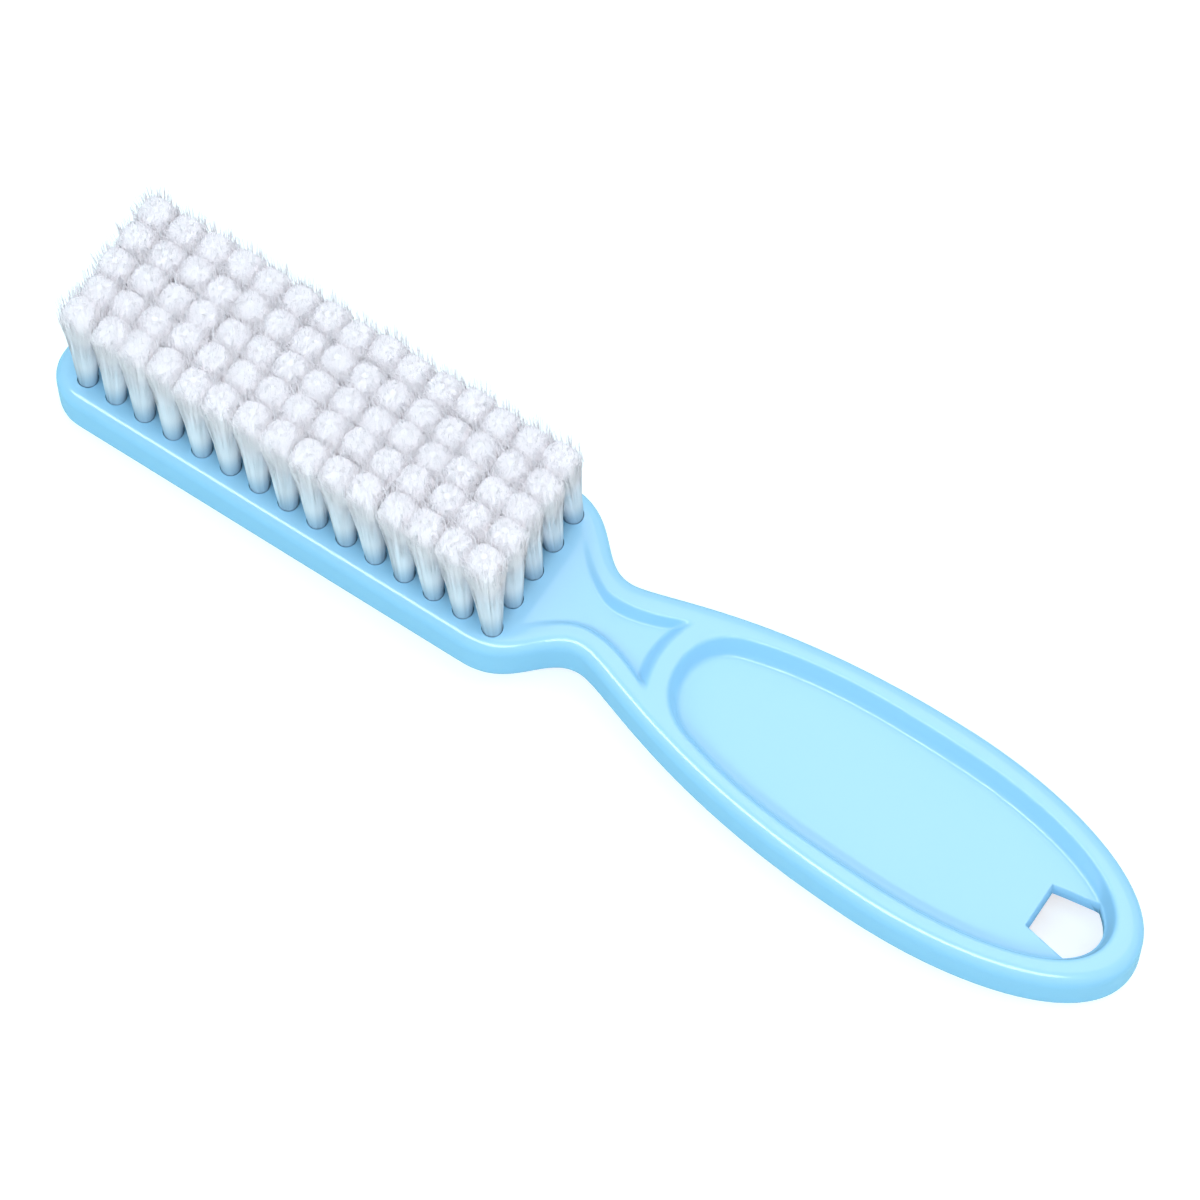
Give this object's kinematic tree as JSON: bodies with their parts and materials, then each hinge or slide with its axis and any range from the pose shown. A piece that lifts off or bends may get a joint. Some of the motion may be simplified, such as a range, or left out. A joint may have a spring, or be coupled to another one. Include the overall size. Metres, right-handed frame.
{
  "type": "nail brush",
  "caption": "Nail brush with a flat rectangular tufted head, a hollowed neck and an open oval handle ending in a hang hole.",
  "frame": {"origin": "centre of the tuft field, on the flat back of the head", "axes": "+X from the head's middle towards the handle's end, +Z out of the face that carries the bristles, +Y across"},
  "size_m": [0.1559, 0.0274, 0.0344],
  "materials": {
    "body": "pastel sky-blue moulded plastic, satin gloss",
    "filament": "white crimp-free nylon filament",
    "anchor_wire": "flat plated anchor wire"
  },
  "bodies": {
    "root": {"body": "body", "tuft_row_01": "filament", "tuft_row_02": "filament", "tuft_row_03": "filament", "tuft_row_04": "filament", "tuft_row_05": "filament", "tuft_row_06": "filament", "tuft_row_07": "filament", "tuft_row_08": "filament", "tuft_row_09": "filament", "tuft_row_10": "filament", "tuft_row_11": "filament", "tuft_row_12": "filament", "tuft_row_13": "filament", "tuft_row_14": "filament", "tuft_row_15": "filament", "anchor_row_01": "anchor_wire", "anchor_row_02": "anchor_wire", "anchor_row_03": "anchor_wire", "anchor_row_04": "anchor_wire", "anchor_row_05": "anchor_wire", "anchor_row_06": "anchor_wire", "anchor_row_07": "anchor_wire", "anchor_row_08": "anchor_wire", "anchor_row_09": "anchor_wire", "anchor_row_10": "anchor_wire", "anchor_row_11": "anchor_wire", "anchor_row_12": "anchor_wire", "anchor_row_13": "anchor_wire", "anchor_row_14": "anchor_wire", "anchor_row_15": "anchor_wire"}
  },
  "joints": []
}
